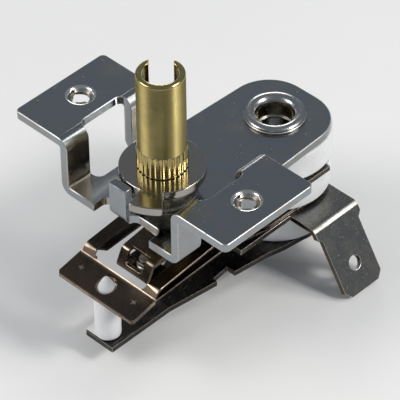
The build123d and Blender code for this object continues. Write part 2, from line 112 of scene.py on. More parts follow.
def soft_lamp(name, place, size, watts, colour):
    """A square lamp that faces the middle of the thermostat, its place and size in m."""
    lamp = bpy.data.lights.new(name, "AREA")
    lamp.shape = "SQUARE"
    lamp.size = size
    lamp.energy = watts
    lamp.color = colour
    holder = bpy.data.objects.new(name, lamp)
    scene.collection.objects.link(holder)
    place = Vector(place)
    aim = part_middle - place
    holder.matrix_world = Matrix.Translation(place) @ aim.to_track_quat("-Z", "Y").to_matrix().to_4x4()


bpy.ops.object.select_all(action="DESELECT")
table_side, table_gap = 3.0, 0.0001
bpy.ops.mesh.primitive_plane_add(size=table_side, location=(0, 0, cad_box[0][2] - table_gap))
table = bpy.context.object
table.name = "studio_table"
table_finish, tree, shader = new_material("pale_table")
grain = add_node(tree, "ShaderNodeTexNoise", {"Scale": 180.0, "Detail": 3.0})
shade = add_node(tree, "ShaderNodeMapRange", {"Value": grain.outputs["Fac"], "To Min": 0.84, "To Max": 0.87})
# Painted shade: the table's colour gets darker away from the thermostat, under the lamps, so that the lit
# floor never burns out.
painted_shade_start, painted_shade_end, far_shade = 0.10, 0.34, 0.42
table_place = add_node(tree, "ShaderNodeTexCoord")
away = add_node(tree, "ShaderNodeVectorMath", {0: table_place.outputs["Object"]}, operation="LENGTH")
painted_shade_falloff = add_node(tree, "ShaderNodeMapRange", {
    "Value": away.outputs["Value"], "From Min": painted_shade_start, "From Max": painted_shade_end,
    "To Min": 1.0, "To Max": far_shade})
shade = add_node(tree, "ShaderNodeMath", {0: shade.outputs[0], 1: painted_shade_falloff.outputs[0]}, operation="MULTIPLY")
tone = add_node(tree, "ShaderNodeCombineColor", {
    "Red": shade.outputs[0], "Green": shade.outputs[0], "Blue": shade.outputs[0]})
tree.links.new(tone.outputs[0], shader.inputs["Base Color"])
shader.inputs["Roughness"].default_value = 0.9
table.data.materials.append(table_finish)

world = bpy.data.worlds.new("studio_air")
scene.world = world
world.use_nodes = True
sky = world.node_tree.nodes["Background"]
sky.inputs["Color"].default_value = (0.78, 0.86, 0.97, 1)
sky.inputs["Strength"].default_value = 0.27
soft_lamp("left_lamp", (-0.29, 0.22, 0.24), 0.24, 1.05, (1.0, 0.97, 0.93))
soft_lamp("top_right_lamp", (0.20, -0.19, 0.36), 0.13, 0.36, (1.0, 0.97, 0.92))
soft_lamp("front_lamp", (0.12, -0.31, 0.24), 0.08, 0.72, (1.0, 0.98, 0.94))
soft_lamp("edge_lamp", (0.24, -0.30, 0.23), 0.10, 0.22, (1.0, 0.98, 0.95))
soft_lamp("back_lamp", (0.33, 0.32, 0.11), 0.14, 0.36, (1.0, 0.98, 0.95))

# The camera's angles, place and lens are those that were fitted to the photograph.
azimuth, elevation, roll = radians(-45.173), radians(41.77), radians(-0.817)
aside, lowered, distance = 0.004523, 0.006381, 0.37743
sensor_width, focal_length = 36, 284.35
back = Vector((sin(azimuth) * cos(elevation), -cos(azimuth) * cos(elevation), sin(elevation)))
level = Vector((0, 0, 1)).cross(back).normalized()
upright = back.cross(level)
across = level * cos(roll) + upright * sin(roll)
upward = upright * cos(roll) - level * sin(roll)
camera_place = across * aside - upward * lowered + back * distance
camera_data = bpy.data.cameras.new("studio_camera")
camera_data.sensor_width = sensor_width
camera_data.lens = focal_length
camera_data.clip_start = 0.01
camera = bpy.data.objects.new("studio_camera", camera_data)
scene.collection.objects.link(camera)
camera.matrix_world = Matrix.Translation(camera_place) @ Matrix((across, upward, back)).transposed().to_4x4()
scene.camera = camera


# Mounting bracket: one folded strip of bright nickel-plated steel, with two
# tapped ears, a turned-up stop lug and a round rear plate that holds the stack.
same_point = 0.002 * mm


def work_on(*pieces):
    """Select only these pieces, the last one active."""
    bpy.ops.object.select_all(action="DESELECT")
    for piece in pieces:
        piece.select_set(True)
        bpy.context.view_layer.objects.active = piece


def clear_seams(piece):
    """Dissolve the seams that cross flat faces, so that only real edges are left."""
    flat_within = radians(0.6)
    work_on(piece)
    bpy.ops.object.mode_set(mode="EDIT")
    bpy.ops.mesh.select_all(action="SELECT")
    bpy.ops.mesh.remove_doubles(threshold=0.008 * mm)
    bpy.ops.mesh.dissolve_limited(angle_limit=flat_within)
    bpy.ops.mesh.select_all(action="SELECT")
    bpy.ops.mesh.normals_make_consistent(inside=False)
    bpy.ops.object.mode_set(mode="OBJECT")


def merged_copy(node, name):
    """A new piece from a CAD node: its loose triangles are merged and flat seams cleared."""
    source = frame["nodes"][node]
    piece = source.copy()
    piece.data = source.data.copy()
    piece.name = name
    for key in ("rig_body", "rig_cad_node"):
        if key in piece:
            del piece[key]
    piece.parent = None
    piece.matrix_world = source.matrix_world.copy()
    scene.collection.objects.link(piece)
    piece.data.materials.clear()
    work_on(piece)
    bpy.ops.object.mode_set(mode="EDIT")
    bpy.ops.mesh.select_all(action="SELECT")
    bpy.ops.mesh.remove_doubles(threshold=same_point)
    bpy.ops.object.mode_set(mode="OBJECT")
    if piece.data.has_custom_normals:
        bpy.ops.mesh.customdata_custom_splitnormals_clear()
    clear_seams(piece)
    return piece


def finish_edges(piece, width, segments=2, sharper_than=30, spared=()):
    """Round the sharp edges a little, as tumbling and plating do, and shade the piece.

    Edges near a spared spot stay sharp: three folds meet there and a bevel would spike.
    """
    spared_reach, sliver, smooth_below, flat_weight = 0.7, 0.004 * mm, radians(40), 80
    work_on(piece)
    bpy.ops.object.mode_set(mode="EDIT")
    pick(piece, "EDGE", lambda part, at: len(part.link_faces) == 2
         and part.calc_face_angle() > radians(sharper_than)
         and all((at - Vector(spot)).length > spared_reach for spot in spared))
    bpy.ops.mesh.bevel(offset=width * mm, segments=segments, affect="EDGES", clamp_overlap=False)
    bpy.ops.mesh.select_all(action="SELECT")
    bpy.ops.mesh.dissolve_degenerate(threshold=sliver)
    bpy.ops.object.mode_set(mode="OBJECT")
    bpy.ops.object.shade_smooth_by_angle(angle=smooth_below)
    flats = piece.modifiers.new("flats", "WEIGHTED_NORMAL")
    flats.keep_sharp = True
    flats.weight = flat_weight
    bpy.ops.object.modifier_apply(modifier=flats.name)


def join_to(piece, *others):
    """Make the others part of the piece."""
    work_on(*others, piece)
    bpy.ops.object.join()
    return piece


def pick(piece, kind, test):
    """In edit mode, select the vertices, edges or faces whose middle, in mm, passes."""
    bpy.ops.mesh.select_mode(type=kind)
    bpy.ops.mesh.select_all(action="DESELECT")
    shape = bmesh.from_edit_mesh(piece.data)
    for part in {"VERT": shape.verts, "EDGE": shape.edges, "FACE": shape.faces}[kind]:
        corners = [part] if kind == "VERT" else part.verts
        middle = sum((corner.co for corner in corners), Vector()) / len(corners) / mm
        if test(part, middle):
            part.select_set(True)
    bmesh.update_edit_mesh(piece.data)


def give_faces(piece, material, test):
    """Put a second material on the faces whose middle, in mm, passes."""
    piece.data.materials.append(material)
    slot = len(piece.data.materials) - 1
    for face in piece.data.polygons:
        if test(face, face.center / mm):
            face.material_index = slot


def screw_thread(name, x, y, start_radius, end_radius, pitch, low, high):
    """A thin threaded skin between two radii: a zigzag line is screwed round and trimmed.

    The line grows from one corner of a 1 mm plane, moved to the start radius.
    """
    steps_a_turn = 40
    bpy.ops.mesh.primitive_plane_add(size=1 * mm, location=(x * mm, y * mm, 0))
    skin = bpy.context.object
    skin.name = name
    bpy.ops.object.mode_set(mode="EDIT")
    pick(skin, "VERT", lambda part, at: at.x > 0 or at.y > 0)
    bpy.ops.mesh.delete(type="VERT")
    bpy.ops.mesh.select_all(action="SELECT")
    bpy.ops.transform.translate(value=((start_radius + 0.5) * mm, 0.5 * mm, (low - 1.5 * pitch) * mm))
    reach = (end_radius - start_radius) * mm
    for turn in range(ceil((high - low) / pitch) + 2):
        for step in (reach, -reach):
            bpy.ops.mesh.extrude_vertices_move(
                TRANSFORM_OT_translate={"value": (step, 0, pitch * mm / 2)})
    bpy.ops.object.mode_set(mode="OBJECT")
    turns = skin.modifiers.new("screw", "SCREW")
    turns.screw_offset = pitch * mm
    turns.steps = turns.render_steps = steps_a_turn
    turns.use_merge_vertices = True
    turns.merge_threshold = same_point
    bpy.ops.object.modifier_apply(modifier=turns.name)
    bpy.ops.object.transform_apply(location=True, rotation=True, scale=True)
    bpy.ops.object.mode_set(mode="EDIT")
    bpy.ops.mesh.select_all(action="SELECT")
    bpy.ops.mesh.remove_doubles(threshold=same_point)
    for height, facing in ((high, 1), (low, -1)):
        bpy.ops.mesh.select_all(action="SELECT")
        bpy.ops.mesh.bisect(plane_co=(x * mm, y * mm, height * mm), plane_no=(0, 0, facing),
                            clear_outer=True)
    bpy.ops.mesh.select_all(action="SELECT")
    bpy.ops.mesh.normals_make_consistent(inside=False)
    bpy.ops.object.mode_set(mode="OBJECT")
    return skin


def give_wall(skin, thickness, side):
    """Turn an open skin into a thin wall, towards one side of it or on both."""
    work_on(skin)
    wall = skin.modifiers.new("wall", "SOLIDIFY")
    wall.thickness = thickness * mm
    wall.offset = side
    bpy.ops.object.modifier_apply(modifier=wall.name)
    bpy.ops.object.shade_flat()


def build_marks_group():
    """Masks for a worn metal face: fine scratches, specks, mottling, and sharp edges that are both rubbed
    and given a painted highlight.
    """
    group = bpy.data.node_groups.new("metal_marks", "ShaderNodeTree")
    for name, kind, value in (
        ("Scratch Turn", "NodeSocketVector", (0, 0, 0)),
        ("Mottle Size", "NodeSocketFloat", 3.0),
        ("Speck Size", "NodeSocketFloat", 0.8),
        ("Edge Width", "NodeSocketFloat", 0.12),
    ):
        group.interface.new_socket(name, in_out="INPUT", socket_type=kind).default_value = value
    for name in ("Scratches", "Specks", "Mottle", "Worn Edge Highlight", "Grain"):
        group.interface.new_socket(name, in_out="OUTPUT", socket_type="NodeSocketFloat")
    given = group.nodes.new("NodeGroupInput")
    result = group.nodes.new("NodeGroupOutput")
    place = add_node(group, "ShaderNodeTexCoord").outputs["Object"]

    def per_size(name):
        """The texture scale that goes with a size in mm."""
        return add_node(group, "ShaderNodeMath", {0: 1000.0, 1: given.outputs[name]},
                        operation="DIVIDE").outputs[0]

    turned_place = add_node(group, "ShaderNodeMapping", {
        "Vector": place, "Rotation": given.outputs["Scratch Turn"],
        "Scale": (260, 8000, 8000)}).outputs[0]
    lines = add_node(group, "ShaderNodeTexNoise", {"Vector": turned_place, "Scale": 1.0, "Detail": 1.0})
    crossing = add_node(group, "ShaderNodeMapping", {
        "Vector": place, "Rotation": (0.3, 0.2, 0.9), "Scale": (300, 7000, 7000)}).outputs[0]
    stray = add_node(group, "ShaderNodeTexNoise", {"Vector": crossing, "Scale": 1.0, "Detail": 1.0})
    fine = add_node(group, "ShaderNodeMapRange", {
        "Value": lines.outputs["Fac"], "From Min": 0.68, "From Max": 0.80}).outputs[0]
    odd = add_node(group, "ShaderNodeMapRange", {
        "Value": stray.outputs["Fac"], "From Min": 0.70, "From Max": 0.80}).outputs[0]
    scratches = add_node(group, "ShaderNodeMath", {0: fine, 1: odd}, operation="MAXIMUM").outputs[0]
    group.links.new(scratches, result.inputs["Scratches"])

    cells = add_node(group, "ShaderNodeTexVoronoi", {"Vector": place, "Scale": per_size("Speck Size")})
    dots = add_node(group, "ShaderNodeMapRange", {
        "Value": cells.outputs["Distance"], "From Min": 0.17, "From Max": 0.08}).outputs[0]
    some = add_node(group, "ShaderNodeSeparateColor", {"Color": cells.outputs["Color"]}).outputs[0]
    few = add_node(group, "ShaderNodeMath", {0: some, 1: 0.55}, operation="GREATER_THAN").outputs[0]
    specks = add_node(group, "ShaderNodeMath", {0: dots, 1: few}, operation="MULTIPLY").outputs[0]
    group.links.new(specks, result.inputs["Specks"])

    cloud = add_node(group, "ShaderNodeTexNoise", {
        "Vector": place, "Scale": per_size("Mottle Size"), "Detail": 5.0, "Roughness": 0.62,
        "Distortion": 0.5})
    mottle = add_node(group, "ShaderNodeMapRange", {
        "Value": cloud.outputs["Fac"], "From Min": 0.42, "From Max": 0.66}).outputs[0]
    group.links.new(mottle, result.inputs["Mottle"])

    # Sharp edges, found from the bevel's normal: partly real rubbed wear, partly a painted highlight.
    radius = add_node(group, "ShaderNodeMath", {0: given.outputs["Edge Width"], 1: mm}, operation="MULTIPLY")
    rounded = add_node(group, "ShaderNodeBevel", {"Radius": radius.outputs[0]}, samples=6)
    facing = add_node(group, "ShaderNodeNewGeometry").outputs["Normal"]
    alike = add_node(group, "ShaderNodeVectorMath", {
        0: rounded.outputs["Normal"], 1: facing}, operation="DOT_PRODUCT").outputs["Value"]
    edge = add_node(group, "ShaderNodeMapRange", {
        "Value": alike, "From Min": 0.985, "From Max": 0.86}).outputs[0]
    group.links.new(edge, result.inputs["Worn Edge Highlight"])

    grit = add_node(group, "ShaderNodeTexNoise", {"Vector": place, "Scale": 5200.0, "Detail": 3.0})
    group.links.new(grit.outputs["Fac"], result.inputs["Grain"])
    return group


marks_group = build_marks_group()


def mix_colours(tree, amount, first, second):
    """Blend two colours, each given as a value or a socket, by a mask."""
    blend = add_node(tree, "ShaderNodeMix", data_type="RGBA")
    factor, colour_a, colour_b = blend.inputs[0], blend.inputs[6], blend.inputs[7]
    for socket, value in ((factor, amount), (colour_a, first), (colour_b, second)):
        if isinstance(value, bpy.types.NodeSocket):
            tree.links.new(value, socket)
        else:
            socket.default_value = (*value, 1) if isinstance(value, tuple) else value
    return blend.outputs[2]


def scaled(tree, mask, factor):
    """A mask times a number or another mask."""
    return add_node(tree, "ShaderNodeMath", {0: mask, 1: factor}, operation="MULTIPLY").outputs[0]


def summed(tree, *masks):
    """Several masks added up."""
    total = masks[0]
    for mask in masks[1:]:
        total = add_node(tree, "ShaderNodeMath", {0: total, 1: mask}).outputs[0]
    return total


def upright_mask(tree, steep=0.1, level=0.3):
    """1 on faces that stand upright, such as sheared edges and walls, 0 on level ones."""
    facing = add_node(tree, "ShaderNodeNewGeometry").outputs["Normal"]
    rise = add_node(tree, "ShaderNodeSeparateXYZ", {"Vector": facing}).outputs["Z"]
    rise = add_node(tree, "ShaderNodeMath", {0: rise}, operation="ABSOLUTE").outputs[0]
    return add_node(tree, "ShaderNodeMapRange", {
        "Value": rise, "From Min": level, "From Max": steep}).outputs[0]


def bend_mask(tree, steepest=0.15, flattest=0.97):
    """1 where a face slopes, as in a fold: the stretched metal has gone matt there, and a painted highlight
    colour can go on it.
    """
    steep = upright_mask(tree, steepest, flattest)
    level = add_node(tree, "ShaderNodeMath", {0: 1.0, 1: steep}, operation="SUBTRACT").outputs[0]
    both = add_node(tree, "ShaderNodeMath", {0: steep, 1: level}, operation="MULTIPLY").outputs[0]
    return add_node(tree, "ShaderNodeMath", {0: both, 1: 4.0},
                    operation="MULTIPLY", use_clamp=True).outputs[0]


def metal_finish(name, clean, stain, bright, roughness, stain_amount=0.6, scratch=0.35, specks=0.5,
                 mottle_size=3.0, speck_size=0.8, edge_width=0.12, turn=(0, 0, 0), relief=0.25, lathe=0.0,
                 tint=None, tint_mask=upright_mask, speck_colour=None, bends=0.0,
                 bend_colour=None, bend_slopes=(0.15, 0.97)):
    """A bare or plated metal: clean colour, stained patches, edges both rubbed bright and given a painted
    highlight, and marks.

    The tint and the painted bend highlight cover the clean colour under their masks; sizes are in mm.
    """
    bump_depth = 0.02 * mm
    material, tree, shader = new_material(name)
    marks = add_node(tree, "ShaderNodeGroup", node_tree=marks_group)
    marks.inputs["Mottle Size"].default_value = mottle_size
    marks.inputs["Speck Size"].default_value = speck_size
    marks.inputs["Edge Width"].default_value = edge_width
    marks.inputs["Scratch Turn"].default_value = turn
    out = marks.outputs
    face = clean
    # Folds take the lighter colour given for them: a painted highlight.
    if bend_colour:
        face = mix_colours(tree, bend_mask(tree, *bend_slopes), face, bend_colour)
    if tint:
        face = mix_colours(tree, tint_mask(tree), face, tint)
    colour = mix_colours(tree, scaled(tree, out["Mottle"], stain_amount), face, stain)
    colour = mix_colours(tree, scaled(tree, out["Specks"], specks), colour,
                         speck_colour or tuple(0.45 * c for c in clean))
    colour = mix_colours(tree, scaled(tree, out["Scratches"], scratch), colour, bright)
    # Edges go to the bright colour: rubbed wear, and a painted highlight along them.
    colour = mix_colours(tree, out["Worn Edge Highlight"], colour, bright)
    tree.links.new(colour, shader.inputs["Base Color"])
    shader.inputs["Metallic"].default_value = 1.0
    rough = summed(tree, scaled(tree, out["Mottle"], 0.10), scaled(tree, out["Scratches"], 0.5 * scratch),
                   scaled(tree, out["Specks"], 0.2), scaled(tree, out["Grain"], 0.08),
                   scaled(tree, out["Worn Edge Highlight"], 0.42), scaled(tree, bend_mask(tree, *bend_slopes), bends))
    rough = add_node(tree, "ShaderNodeMath", {0: rough, 1: roughness}, use_clamp=True).outputs[0]
    tree.links.new(rough, shader.inputs["Roughness"])
    height = summed(tree, scaled(tree, out["Grain"], 0.5), scaled(tree, out["Scratches"], -3.0 * scratch),
                    scaled(tree, out["Specks"], -1.0))
    bump = add_node(tree, "ShaderNodeBump", {"Height": height, "Strength": relief, "Distance": bump_depth})
    tree.links.new(bump.outputs[0], shader.inputs["Normal"])
    if lathe > 0:
        place = add_node(tree, "ShaderNodeTexCoord").outputs["Object"]
        rings = add_node(tree, "ShaderNodeMapping", {"Vector": place, "Scale": (60, 60, 9000)}).outputs[0]
        cuts = add_node(tree, "ShaderNodeTexNoise", {"Vector": rings, "Scale": 1.0, "Detail": 2.0})
        turned_face = add_node(tree, "ShaderNodeBump", {
            "Height": cuts.outputs["Fac"], "Strength": lathe, "Distance": bump_depth,
            "Normal": bump.outputs[0]})
        tree.links.new(turned_face.outputs[0], shader.inputs["Normal"])
    return material


ear_hole_y, ear_thickness = 14.0, 1.2
drill_radius, tap_major, tap_minor, tap_pitch = 1.25, 1.5, 1.16, 0.42
sink, burr, near = 0.42, 0.08, 0.02

bracket = merged_copy("mounting_bracket", "folded_bracket")
work_on(bracket)
bpy.ops.object.mode_set(mode="EDIT")
# Each ear hole is opened to the thread's outer size, countersunk on top and rounded below.
for side in (-1, 1):
    hole = Vector((0, side * ear_hole_y))
    pick(bracket, "VERT", lambda part, at: abs((at.xy - hole).length - drill_radius) < near)
    wider = tap_major / drill_radius
    bpy.ops.transform.resize(value=(wider, wider, 1), center_override=(0, side * ear_hole_y * mm, 0))
    for height, width in ((0, sink), (-ear_thickness, burr)):
        pick(bracket, "EDGE", lambda part, at: abs((at.xy - hole).length - tap_major) < near
             and all(abs(corner.co.z / mm - height) < 0.01 for corner in part.verts))
        bpy.ops.mesh.bevel(offset=width * mm, segments=4, profile=0.5, affect="EDGES")
bpy.ops.object.mode_set(mode="OBJECT")
fold_corners = [(7.5, -7.46, -7.1), (7.5, 7.46, -7.1), (-6.3, 2.4, -7.1), (-6.3, -0.35, -7.1)]
finish_edges(bracket, 0.08, segments=1, sharper_than=50, spared=fold_corners)
thread_skins = []
for side in (-1, 1):
    thread_skin = screw_thread("ear_thread", 0, side * ear_hole_y, tap_minor, tap_major + 0.02,
                               tap_pitch, burr - ear_thickness, -0.7 * sink)
    give_wall(thread_skin, 0.1, 0)
    thread_skins.append(thread_skin)


def painted_brass_reflection_mask(tree):
    """1 on the sides of the two walls that face each other, which get a painted reflection of the brass
    shaft.
    """
    facing = add_node(tree, "ShaderNodeNewGeometry").outputs["Normal"]
    facing = add_node(tree, "ShaderNodeSeparateXYZ", {"Vector": facing}).outputs["Y"]
    place = add_node(tree, "ShaderNodeTexCoord").outputs["Object"]
    place = add_node(tree, "ShaderNodeSeparateXYZ", {"Vector": place})
    side = add_node(tree, "ShaderNodeMapRange", {
        "Value": place.outputs["Y"], "From Min": -0.0001, "From Max": 0.0001, "To Min": 1.0, "To Max": -1.0})
    inward = add_node(tree, "ShaderNodeMath", {0: facing, 1: side.outputs[0]},
                      operation="MULTIPLY", use_clamp=True)
    below = add_node(tree, "ShaderNodeMapRange", {
        "Value": place.outputs["Z"], "From Min": -0.0009, "From Max": -0.0016})
    return scaled(tree, inward.outputs[0], below.outputs[0])


# The sides of the two walls that face the shaft get a tan tint: a painted reflection of the brass shaft.
nickel = metal_finish("bright_nickel", (0.33, 0.355, 0.375), (0.29, 0.26, 0.215), (0.90, 0.89, 0.87), 0.10,
                      stain_amount=0.5, scratch=0.0, specks=0.4, mottle_size=4.5, speck_size=1.0,
                      relief=0.06, turn=(0, 0, 0.35), tint=(0.44, 0.385, 0.31),
                      tint_mask=painted_brass_reflection_mask, bends=0.2)
bracket.data.materials.append(nickel)
# The countersinks and the tops of the hole walls get a much lighter nickel: a painted highlight for the
# bright rings round the holes.
painted_rim_highlight = metal_finish("hole_rim_painted_highlight", (0.72, 0.72, 0.70), (0.55, 0.52, 0.47),
                          (0.92, 0.91, 0.89), 0.12, stain_amount=0.3, scratch=0.0, specks=0.2,
                          edge_width=0.04, relief=0.04)
give_faces(bracket, painted_rim_highlight, lambda face, at: at.z > -0.7 and abs(face.normal.z) < 0.995
           and Vector((at.x, abs(at.y) - ear_hole_y)).length < tap_major + sink + 0.05)
thread_steel = metal_finish("tapped_steel", (0.42, 0.40, 0.37), (0.20, 0.18, 0.16), (0.70, 0.69, 0.66), 0.20,
                            mottle_size=0.8, speck_size=0.4, edge_width=0.04)
for thread_skin in thread_skins:
    thread_skin.data.materials.append(thread_steel)
    join_to(bracket, thread_skin)
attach(bracket, "stack")
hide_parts("mounting_bracket")


# Threaded bush: a turned brass collar, nickel plated, pushed through the strip
# and riveted over underneath; the shaft's fine thread runs in it.
def turned(name, x, y, profile, steps=96, hollow=False, smooth=35):
    """A turned piece: one ring is extruded, widened and lifted along (radius, height) in mm.

    A hollow piece closes its last ring on its first, any other piece caps both.
    """
    radius, height = profile[0]
    bpy.ops.object.select_all(action="DESELECT")
    bpy.ops.mesh.primitive_circle_add(vertices=steps, radius=radius * mm, fill_type="NOTHING",
                                      location=(x * mm, y * mm, height * mm))
    piece = bpy.context.object
    piece.name = name
    bpy.ops.object.transform_apply(location=True, rotation=True, scale=True)
    bpy.ops.object.mode_set(mode="EDIT")
    bpy.ops.mesh.select_mode(type="EDGE")
    bpy.ops.mesh.select_all(action="SELECT")
    for next_radius, next_height in profile[1:]:
        bpy.ops.mesh.extrude_edges_indiv()
        bpy.ops.transform.translate(value=(0, 0, (next_height - height) * mm))
        grow = next_radius / radius
        bpy.ops.transform.resize(value=(grow, grow, 1), center_override=(x * mm, y * mm, next_height * mm))
        radius, height = next_radius, next_height
    bpy.ops.mesh.select_all(action="DESELECT")
    bpy.ops.mesh.select_non_manifold()
    if hollow:
        bpy.ops.mesh.bridge_edge_loops()
    else:
        bpy.ops.mesh.select_all(action="SELECT")
        bpy.ops.mesh.fill_holes(sides=0)
    bpy.ops.mesh.select_all(action="SELECT")
    bpy.ops.mesh.remove_doubles(threshold=0.0005 * mm)
    bpy.ops.mesh.normals_make_consistent(inside=False)
    bpy.ops.object.mode_set(mode="OBJECT")
    bpy.ops.object.shade_smooth_by_angle(angle=radians(smooth))
    return piece


def arc(middle_radius, middle_height, size, start, end, steps=6):
    """Points of a quarter or half round on a turned profile, angles in degrees."""
    return [(middle_radius + size * cos(radians(start + (end - start) * step / steps)),
             middle_height + size * sin(radians(start + (end - start) * step / steps)))
            for step in range(steps + 1)]


bush_top, strip_top, strip_bottom = -4.45, -7.1, -8.3
bush_bore, shank, collar, groove = 2.56, 3.4, 4.35, 4.25
collar_round, lip_round, lip_depth = 0.35, 0.4, 0.5
bush = turned("threaded_collar", 0, 0, [
    (bush_bore, strip_bottom - lip_depth), (bush_bore, bush_top - 0.2), (2.72, bush_top),
    *arc(collar - collar_round, bush_top - collar_round, collar_round, 90, 0),
    (collar, strip_top + 0.95), (groove, strip_top + 0.85), (groove, strip_top + 0.7),
    (collar, strip_top + 0.6), (collar, strip_top), (shank, strip_top), (shank, strip_bottom),
    (3.8, strip_bottom), *arc(shank, strip_bottom, lip_round, -15, -90, 4),
    (shank, strip_bottom - lip_depth)], hollow=True)
bush_plating = metal_finish("collar_nickel", (0.24, 0.225, 0.19), (0.16, 0.13, 0.09),
                            (0.80, 0.78, 0.72), 0.16, mottle_size=2.0, turn=(radians(90), 0, 0))
bush.data.materials.append(bush_plating)
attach(bush, "stack")
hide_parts("threaded_bush")


# Stop disc: stamped from sheet and plated, with one fan-shaped tab that meets
# the bracket's lug at the end of the turn; pressed on the shaft.
disc = merged_copy("stop_disc", "stop_disc_plate")
finish_edges(disc, 0.14, segments=3)
disc_plating = metal_finish("disc_nickel", (0.38, 0.365, 0.33), (0.32, 0.27, 0.20),
                            (0.90, 0.88, 0.83), 0.06, stain_amount=0.5, scratch=0.05, specks=0.3,
                            mottle_size=3.5, relief=0.04)
disc.data.materials.append(disc_plating)
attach(disc, "shaft")
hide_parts("stop_disc")


# Adjusting shaft: turned from brass rod and polished, straight knurl above the
# disc, bored and slotted at the top, with a fine thread below for the bush.
def cut_away(piece, tool):
    """Cut one solid out of another and throw the cutter away."""
    work_on(piece)
    cut = piece.modifiers.new("cut", "BOOLEAN")
    cut.solver = "EXACT"
    cut.operation = "DIFFERENCE"
    cut.object = tool
    bpy.ops.object.modifier_apply(modifier=cut.name)
    bpy.data.objects.remove(tool)


def off_tooth(at):
    """How far a point is from the nearest tooth gap of the knurl, in teeth."""
    teeth = degrees(atan2(at.y, at.x)) / (360 / knurl_teeth)
    return abs(teeth - round(teeth))


def on_slot_edge(part, at):
    """Whether an edge is one of the sharp ones that the slot's cut has left."""
    aside = [abs(corner.co.dot(slot_side) / mm) for corner in part.verts]
    return (at.z > slot_floor - 0.05 and at.dot(slot_way) > 0.5
            and max(aside) < slot_width / 2 + 0.01
            and (min(aside) > slot_width / 2 - 0.01 or at.z < slot_floor + 0.01)
            and len(part.link_faces) == 2 and part.calc_face_angle() > radians(30))


shaft_top, shaft_radius, bore_radius = 11.5, 3.0, 2.22
bore_bottom, core_radius, disc_seat, disc_top = 2.5, 1.5, 2.5, -2.68
knurl_radius, knurl_foot, knurl_top, knurl_teeth = 3.16, 2.88, 0.2, 28
thread_crest, thread_root, thread_core, thread_pitch = 2.5, 2.22, 2.3, 0.5
thread_end, thread_top, thread_chamfer = -12.3, disc_top - 1.25, 0.25
outer_round, inner_round = 0.3, 0.2
shaft = turned("slotted_shaft", 0, 0, [
    (core_radius, thread_end), (2.15, thread_end), (thread_core, thread_end + thread_chamfer),
    (thread_core, thread_top), (disc_seat, thread_top), (disc_seat, disc_top), (knurl_foot, disc_top),
    (knurl_foot, disc_top + 0.12), (knurl_radius, disc_top + 0.2), (knurl_radius, knurl_top),
    (3.08, knurl_top + 0.2), (shaft_radius, knurl_top + 0.3), (shaft_radius, shaft_top - outer_round),
    *arc(shaft_radius - outer_round, shaft_top - outer_round, outer_round, 0, 90),
    *arc(bore_radius + inner_round, shaft_top - inner_round, inner_round, 90, 180, 4),
    (bore_radius, bore_bottom), (core_radius, bore_bottom - 0.72)], steps=4 * knurl_teeth, hollow=True)
work_on(shaft)
bpy.ops.object.mode_set(mode="EDIT")
# The knurl: the gaps between its teeth are pressed in deep, the flanks beside them less.
for depth, nearest, farthest in ((0.27, 0.0, 0.1), (0.07, 0.2, 0.3)):
    pick(shaft, "VERT", lambda part, at: disc_top + 0.15 < at.z < knurl_top + 0.25
         and at.xy.length > shaft_radius + 0.02 and nearest <= off_tooth(at) <= farthest)
    narrow = (knurl_radius - depth) / knurl_radius
    bpy.ops.transform.resize(value=(narrow, narrow, 1), center_override=(0, 0, 0))
bpy.ops.object.mode_set(mode="OBJECT")

slot_width, slot_floor, slot_azimuth = 3.0, 6.3, radians(42.0)
slot_way = Vector((cos(slot_azimuth), sin(slot_azimuth), 0))
slot_side = Vector((-slot_way.y, slot_way.x, 0))
tool_away, tool_length, tool_height = 3.0, 4.5, 6.0
bpy.ops.mesh.primitive_cube_add(size=mm, location=(
    tool_away * cos(slot_azimuth) * mm, tool_away * sin(slot_azimuth) * mm,
    (slot_floor + tool_height / 2) * mm))
slot_tool = bpy.context.object
slot_tool.scale = (tool_length, slot_width, tool_height)
slot_tool.rotation_euler = (0, 0, slot_azimuth)
bpy.ops.object.transform_apply(location=True, rotation=True, scale=True)
cut_away(shaft, slot_tool)
work_on(shaft)
bpy.ops.object.mode_set(mode="EDIT")
pick(shaft, "EDGE", on_slot_edge)
bpy.ops.mesh.bevel(offset=0.07 * mm, segments=2, affect="EDGES")
bpy.ops.object.mode_set(mode="OBJECT")

shaft_thread = screw_thread("shaft_thread", 0, 0, thread_crest, thread_root, thread_pitch,
                            thread_end + thread_chamfer, thread_top)
give_wall(shaft_thread, 0.12, -1)
join_to(shaft, shaft_thread)
brass = metal_finish("polished_brass", (0.46, 0.37, 0.16), (0.30, 0.25, 0.11), (0.98, 0.90, 0.62), 0.10,
                     stain_amount=0.5, scratch=0.05, specks=0.25, mottle_size=3.5,
                     turn=(0, radians(90), 0), edge_width=0.10, relief=0.08, lathe=0.5)
shaft.data.materials.append(brass)
turned_brass = metal_finish("turned_brass", (0.44, 0.365, 0.15), (0.27, 0.235, 0.105),
                            (0.95, 0.84, 0.52), 0.44, stain_amount=0.5, scratch=0.03, specks=0.2,
                            mottle_size=4.5, turn=(0, radians(90), 0), edge_width=0.04,
                            relief=0.03, lathe=0.25)
turned_shader = turned_brass.node_tree.nodes["Principled BSDF"]
turned_shader.inputs["Anisotropic"].default_value = 0.96
turned_shader.inputs["Anisotropic Rotation"].default_value = 0.25
around = add_node(turned_brass.node_tree, "ShaderNodeTangent", direction_type="RADIAL", axis="Z")
turned_brass.node_tree.links.new(around.outputs[0], turned_shader.inputs["Tangent"])
give_faces(shaft, turned_brass, lambda face, at: knurl_top + 0.31 < at.z < shaft_top - outer_round
           and at.xy.length > shaft_radius - 0.05)
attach(shaft, "shaft")
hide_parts("adjusting_shaft")


# Calibration screw: a short headless brass screw deep in the shaft's bore,
# slotted for a small driver; it sets how far the shaft reaches down.
screw = merged_copy("calibration_screw", "calibration_grub_screw")
finish_edges(screw, 0.08)
screw_brass = metal_finish("screw_brass", (0.60, 0.48, 0.26), (0.40, 0.30, 0.16), (0.84, 0.72, 0.45), 0.24)
screw.data.materials.append(screw_brass)
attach(screw, "shaft")
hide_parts("calibration_screw")


